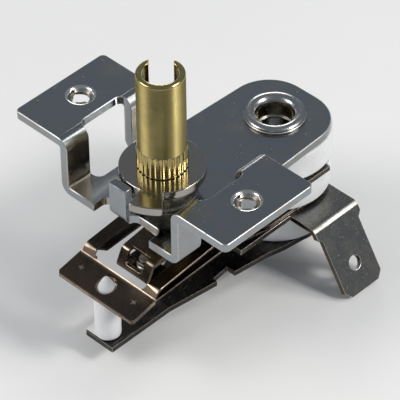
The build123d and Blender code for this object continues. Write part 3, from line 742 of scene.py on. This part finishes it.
# Ceramic spacers: pressed steatite rings, fired white and unglazed, stacked
# between the metal strips; each spigot keeps the strips off the rivet.
def ceramic_finish(name, colour, shade, roughness=0.48):
    """Matt white ceramic with a fine grain, faint clouds and a few dark specks."""
    material, tree, shader = new_material(name)
    place = add_node(tree, "ShaderNodeTexCoord").outputs["Object"]
    cloud = add_node(tree, "ShaderNodeTexNoise", {"Vector": place, "Scale": 350.0, "Detail": 5.0})
    patch = add_node(tree, "ShaderNodeMapRange", {
        "Value": cloud.outputs["Fac"], "From Min": 0.40, "From Max": 0.68}).outputs[0]
    tone = mix_colours(tree, patch, colour, shade)
    cells = add_node(tree, "ShaderNodeTexVoronoi", {"Vector": place, "Scale": 900.0})
    dots = add_node(tree, "ShaderNodeMapRange", {
        "Value": cells.outputs["Distance"], "From Min": 0.12, "From Max": 0.05, "To Max": 0.45}).outputs[0]
    tone = mix_colours(tree, dots, tone, (0.42, 0.36, 0.28))
    tree.links.new(tone, shader.inputs["Base Color"])
    grain = add_node(tree, "ShaderNodeTexNoise", {"Vector": place, "Scale": 7000.0, "Detail": 4.0})
    rough = add_node(tree, "ShaderNodeMapRange", {
        "Value": grain.outputs["Fac"], "To Min": roughness - 0.1, "To Max": roughness + 0.15}).outputs[0]
    tree.links.new(rough, shader.inputs["Roughness"])
    uneven = summed(tree, grain.outputs["Fac"], scaled(tree, cloud.outputs["Fac"], 3.0))
    bump = add_node(tree, "ShaderNodeBump", {"Height": uneven, "Strength": 0.35, "Distance": 0.00003})
    tree.links.new(bump.outputs[0], shader.inputs["Normal"])
    return material


steatite = ceramic_finish("steatite_white", (0.80, 0.81, 0.82), (0.73, 0.73, 0.72))
for node in ("upper_ceramic", "middle_ceramic", "lower_ceramic"):
    ring = merged_copy(node, node + "_ring")
    finish_edges(ring, 0.22, segments=3)
    ring.data.materials.append(steatite)
    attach(ring, "stack")
    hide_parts(node)


# Terminals: stamped from plated steel, a round root in the stack, a flat leg
# and a flap bent down, with one hole for the wire.
# Its crease, folds and chamfers get a lighter colour: a painted highlight.
terminal_plating = metal_finish("terminal_nickel", (0.22, 0.22, 0.212), (0.14, 0.13, 0.11),
                                (0.92, 0.92, 0.90), 0.19, stain_amount=0.6, scratch=0.06, specks=0.7,
                                mottle_size=1.6, speck_size=0.35, relief=0.35, turn=(0, 0, 0.6),
                                bends=0.1, bend_colour=(0.62, 0.61, 0.59), bend_slopes=(0.58, 0.995),
                                tint=(0.10, 0.075, 0.05), speck_colour=(0.50, 0.50, 0.48))
for node in ("front_terminal", "rear_terminal"):
    tab = merged_copy(node, node + "_tab")
    finish_edges(tab, 0.07)
    tab.data.materials.append(terminal_plating)
    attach(tab, "stack")
    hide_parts(node)


# Clamp washer: a flat zinc-plated ring under the bimetal, on which the hollow
# rivet is rolled over.
washer = merged_copy("clamp_washer", "clamp_ring")
finish_edges(washer, 0.08)
washer_zinc = metal_finish("washer_zinc", (0.44, 0.44, 0.45), (0.34, 0.33, 0.31), (0.75, 0.75, 0.75), 0.26)
washer.data.materials.append(washer_zinc)
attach(washer, "stack")
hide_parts("clamp_washer")


# Clamp eyelet: a drawn hollow rivet through the whole stack, its rim rolled
# over in a smooth bright ring on the rear plate and again underneath.
stack_x, stack_bottom = 19.7, -23.35
eyelet_bore, eyelet_rim, tube_radius = 2.35, 3.9, 2.9
roll_top, roll_bottom = strip_top + 0.75, stack_bottom - 0.75
ledge_top = roll_top - 2.75
eyelet = turned("rolled_eyelet", stack_x, 0, [
    (eyelet_bore, roll_bottom + 1.0), (eyelet_bore, ledge_top - 0.6),
    (eyelet_bore - 0.24, ledge_top - 0.35), (eyelet_bore - 0.24, ledge_top - 0.05),
    (eyelet_bore - 0.18, ledge_top), (eyelet_bore, ledge_top), (eyelet_bore, roll_top - 1.0),
    (eyelet_bore + 0.06, roll_top - 0.62), (eyelet_bore + 0.2, roll_top - 0.32),
    (eyelet_bore + 0.42, roll_top - 0.11), (eyelet_bore + 0.68, roll_top - 0.02),
    (eyelet_bore + 0.95, roll_top), (eyelet_rim - 0.36, roll_top - 0.04),
    (eyelet_rim - 0.18, roll_top - 0.13), (eyelet_rim - 0.06, roll_top - 0.27),
    (eyelet_rim - 0.03, roll_top - 0.4), (eyelet_rim - 0.08, roll_top - 0.45),
    (eyelet_rim - 0.07, roll_top - 0.49), (eyelet_rim, roll_top - 0.53),
    (eyelet_rim, strip_top + 0.04), (eyelet_rim - 0.05, strip_top),
    (tube_radius, strip_top), (tube_radius, stack_bottom), (eyelet_rim - 0.1, stack_bottom),
    (eyelet_rim, stack_bottom - 0.1), (eyelet_rim, stack_bottom - 0.3),
    (eyelet_rim - 0.16, stack_bottom - 0.52), (eyelet_bore + 1.1, roll_bottom + 0.06),
    (eyelet_bore + 0.7, roll_bottom), (eyelet_bore + 0.3, roll_bottom + 0.12),
    (eyelet_bore + 0.08, roll_bottom + 0.4)], hollow=True, smooth=60)
eyelet_plating = metal_finish("eyelet_nickel", (0.42, 0.435, 0.45), (0.34, 0.31, 0.25),
                              (0.90, 0.90, 0.88), 0.15, stain_amount=0.35, scratch=0.05, specks=0.2,
                              mottle_size=2.5, relief=0.06, turn=(0, radians(90), 0),
                              tint=(0.42, 0.37, 0.26))
eyelet.data.materials.append(eyelet_plating)
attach(eyelet, "stack")
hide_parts("clamp_eyelet")


# Insulating tip: a small ceramic plug under the shaft; its rounded head bears
# on the live setting arm.
tip = merged_copy("insulating_tip", "insulating_plug")
finish_edges(tip, 0.15, segments=3, sharper_than=25)
post_ceramic = ceramic_finish("post_ceramic", (0.82, 0.83, 0.84), (0.76, 0.76, 0.75), 0.42)
tip.data.materials.append(post_ceramic)
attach(tip, "tip")
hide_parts("insulating_tip")


# Setting arm: a strip of spring bronze bent down steeply through the reed, with
# a square window in the bend and a foot turned back under it for the contact.
def bronze_finish(name, clean, stain, bright, roughness, **more):
    """Spring bronze darkened by heat treatment, its edges rubbed bright and given a painted highlight."""
    return metal_finish(name, clean, stain, bright, roughness, stain_amount=0.7, scratch=0.12,
                        specks=0.35, mottle_size=3.4, speck_size=0.7, edge_width=0.04, relief=0.3,
                        **more)


arm = merged_copy("setting_arm", "bent_setting_arm")
finish_edges(arm, 0.05)
# Its bends get a lighter cream colour: a painted highlight.
arm_bronze = bronze_finish("arm_bronze", (0.105, 0.082, 0.06), (0.055, 0.044, 0.036),
                           (0.74, 0.58, 0.42), 0.17, bends=0.12, bend_colour=(0.62, 0.50, 0.36),
                           bend_slopes=(0.66, 0.995))
arm.data.materials.append(arm_bronze)
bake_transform(arm)
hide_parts("setting_arm")


# Reed leaves: two frames of thin spring bronze, darkened, with a Z-shaped step
# and a wide end bar where the leaves are spot-welded to each other.
def round_bend(piece, x, z, radius):
    """Round a sharp fold across the strip, both skins at once."""
    reach, level_within, longer_than = 0.3, 0.01 * mm, 0.1 * mm
    work_on(piece)
    bpy.ops.object.mode_set(mode="EDIT")
    pick(piece, "EDGE", lambda part, at: abs(at.x - x) < reach and abs(at.z - z) < reach
         and abs(part.verts[0].co.x - part.verts[1].co.x) < level_within
         and abs(part.verts[0].co.y - part.verts[1].co.y) > longer_than
         and len(part.link_faces) == 2 and radians(8) < part.calc_face_angle() < radians(80))
    bpy.ops.mesh.bevel(offset=radius * mm, segments=5, affect="EDGES", clamp_overlap=False)
    bpy.ops.object.mode_set(mode="OBJECT")


def painted_leg_shade_mask(tree):
    """1 along the legs, which get a darker painted shade, 0 on the step and the end bar."""
    place = add_node(tree, "ShaderNodeTexCoord").outputs["Object"]
    along = add_node(tree, "ShaderNodeSeparateXYZ", {"Vector": place}).outputs["X"]
    return add_node(tree, "ShaderNodeMapRange", {
        "Value": along, "From Min": -0.0076, "From Max": -0.0062}).outputs[0]


def weld_marks(piece, lift):
    """At both ends of the bar, the ring and the two crossed ridges that a welding tip leaves.

    The lift in mm is from the middle of the upper leaf to the skin that carries them.
    """
    ring_radius, ring_wire, ridge_size = 0.34, 0.02, (0.42, 0.06, 0.10)
    for side in (-1, 1):
        spot = Vector((weld_x, side * weld_y, bar_front.z + tan(bar_slope) * (weld_x - bar_front.x)))
        spot += Vector((-sin(bar_slope), 0, cos(bar_slope))) * lift
        bpy.ops.object.select_all(action="DESELECT")
        bpy.ops.mesh.primitive_torus_add(major_radius=ring_radius * mm, minor_radius=ring_wire * mm,
                                         major_segments=32, minor_segments=8,
                                         location=spot * mm, rotation=(0, -bar_slope, 0))
        mark = bpy.context.object
        bpy.ops.object.transform_apply(location=True, rotation=True, scale=True)
        ridges = []
        for turn in (20, 105):
            bpy.ops.mesh.primitive_uv_sphere_add(segments=12, ring_count=8, radius=mm, location=spot * mm)
            ridge = bpy.context.object
            ridge.scale = ridge_size
            ridge.rotation_euler = (Matrix.Rotation(-bar_slope, 3, "Y")
                                    @ Matrix.Rotation(radians(turn * side), 3, "Z")).to_euler()
            bpy.ops.object.transform_apply(location=True, rotation=True, scale=True)
            ridges.append(ridge)
        join_to(mark, *ridges)
        mark.data.materials.append(weld_scar)
        bpy.ops.object.shade_smooth()
        join_to(piece, mark)


bar_slope = radians(11.3)
bar_front = Vector((-12.1, 0, -16.55))
weld_x, weld_y = -9.8, 4.5
weld_scar = bronze_finish("weld_scar", (0.30, 0.28, 0.26), (0.12, 0.11, 0.10), (0.80, 0.77, 0.72), 0.26)
# The legs get a darker tint, painted shade; the step's folds get a lighter colour, a painted highlight.
reed_bronze = bronze_finish("reed_bronze", (0.125, 0.095, 0.07), (0.045, 0.038, 0.033),
                            (0.80, 0.62, 0.46), 0.15, tint=(0.055, 0.045, 0.038), tint_mask=painted_leg_shade_mask,
                            bends=0.08, bend_colour=(0.52, 0.39, 0.29), bend_slopes=(0.64, 0.982))
# Each fold of a leaf: its x, its z and the radius that it gets, in mm.
upper = merged_copy("upper_reed", "upper_reed_leaf")
for x, z, radius in ((7.0, -13.3, 0.9), (-7.25, -14.73, 0.55), (-8.0, -15.73, 0.4), (12.0, -17.05, 0.5)):
    round_bend(upper, x, z, radius)
finish_edges(upper, 0.04, segments=1, sharper_than=50)
upper.data.materials.append(reed_bronze)
weld_marks(upper, 0.13)
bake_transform(upper)
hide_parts("upper_reed")

lower = merged_copy("lower_reed", "lower_reed_leaf")
for x, z, radius in ((4.5, -15.5, 0.7), (-8.0, -16.03, 0.3), (11.85, -17.35, 0.5), (-1.4, -16.35, 0.4)):
    round_bend(lower, x, z, radius)
finish_edges(lower, 0.04, segments=1, sharper_than=50)
lower.data.materials.append(reed_bronze)
weld_marks(lower, -0.44)
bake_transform(lower)
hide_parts("lower_reed")


# Contacts: two silver rivets, headed over in the tongue and in the arm's foot,
# with lightly domed faces that meet.
contact_x, head_radius, head_height = -3.3, 1.1, 0.33
silver = metal_finish("contact_silver", (0.70, 0.69, 0.66), (0.42, 0.38, 0.30), (0.86, 0.85, 0.82),
                      0.26, mottle_size=0.9, speck_size=0.3)
for node, body, facing, sheet in (("fixed_contact", "arm", 1, 0.45), ("moving_contact", "reed", -1, 0.3)):
    low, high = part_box(node)
    face = high[2] / mm - head_height if facing == 1 else low[2] / mm + head_height
    rivet = turned(node + "_rivet", contact_x, 0, [
        (0.55, face - facing * (sheet + 0.12)), (0.78, face - facing * (sheet + 0.10)),
        (0.80, face - facing * (sheet + 0.02)), (0.55, face - facing * sheet), (0.55, face),
        (head_radius, face), (head_radius, face + facing * 0.2), (head_radius - 0.08, face + facing * 0.28),
        (head_radius - 0.3, face + facing * 0.31), (0.3, face + facing * head_height)], steps=40)
    rivet.data.materials.append(silver)
    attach(rivet, body)
    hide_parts(node)


# Bimetal strip: rolled two-layer metal, dark, clamped at the foot of the stack
# and tapering to a level end that lifts the post as it warms.
bimetal = merged_copy("bimetal_strip", "bimetal_blade")
finish_edges(bimetal, 0.06)
bimetal_skin = metal_finish("bimetal_skin", (0.06, 0.058, 0.056), (0.035, 0.032, 0.03),
                            (0.78, 0.72, 0.58), 0.22, stain_amount=0.7, scratch=0.3, specks=0.5,
                            mottle_size=3.0, speck_size=0.6)
bimetal.data.materials.append(bimetal_skin)
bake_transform(bimetal)
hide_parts("bimetal_strip")


# Push post: a pressed ceramic pin that stands on the bimetal, a shoulder under
# the end bar and a rounded tip through it; its foot keeps it from turning.
post_x, post_radius, post_base, post_tip = -10.0, 1.64, -23.95, -14.65
leaf_thickness, shoulder_gap, base_round = 0.3, 0.06, 0.45
shoulder = (bar_front.z - 1.5 * leaf_thickness / cos(bar_slope)
            + tan(bar_slope) * (post_x - post_radius - bar_front.x) - shoulder_gap)
post = turned("ceramic_post", post_x, 0, [
    (post_radius - 0.5, post_base),
    *arc(post_radius - base_round, post_base + base_round, base_round, -80, 0, 5),
    (post_radius, shoulder - 0.12), (post_radius - 0.12, shoulder), (1.08, shoulder),
    (1.08, post_tip - 1.42), (1.0, post_tip - 1.26), (0.84, post_tip - 0.95), (0.64, post_tip - 0.58),
    (0.46, post_tip - 0.25), (0.36, post_tip - 0.11), (0.24, post_tip - 0.03), (0.1, post_tip)],
    steps=48, smooth=50)
foot_inner, foot_outer, foot_length, foot_height = 0.6, 2.3, 2.9, 0.6
bpy.ops.mesh.primitive_cube_add(size=mm, location=(
    post_x * mm, (foot_inner + foot_outer) / 2 * mm, (post_base + foot_height / 2) * mm))
foot = bpy.context.object
foot.name = "post_foot"
foot.scale = (foot_length, foot_outer - foot_inner, foot_height)
bpy.ops.object.transform_apply(location=True, rotation=True, scale=True)
bpy.ops.object.mode_set(mode="EDIT")
pick(foot, "EDGE", lambda part, at: at.z > post_base + 0.5 and at.y > foot_outer - 0.1)
bpy.ops.mesh.bevel(offset=0.4 * mm, segments=3, affect="EDGES")
pick(foot, "VERT", lambda part, at: at.z > post_base + 0.5 and at.y < foot_inner + 0.1)
bpy.ops.transform.translate(value=(0, 0, 0.5 * mm))
bpy.ops.object.mode_set(mode="OBJECT")
finish_edges(foot, 0.08)
join_to(post, foot)
post.data.materials.append(post_ceramic)
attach(post, "bimetal")
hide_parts("push_post")
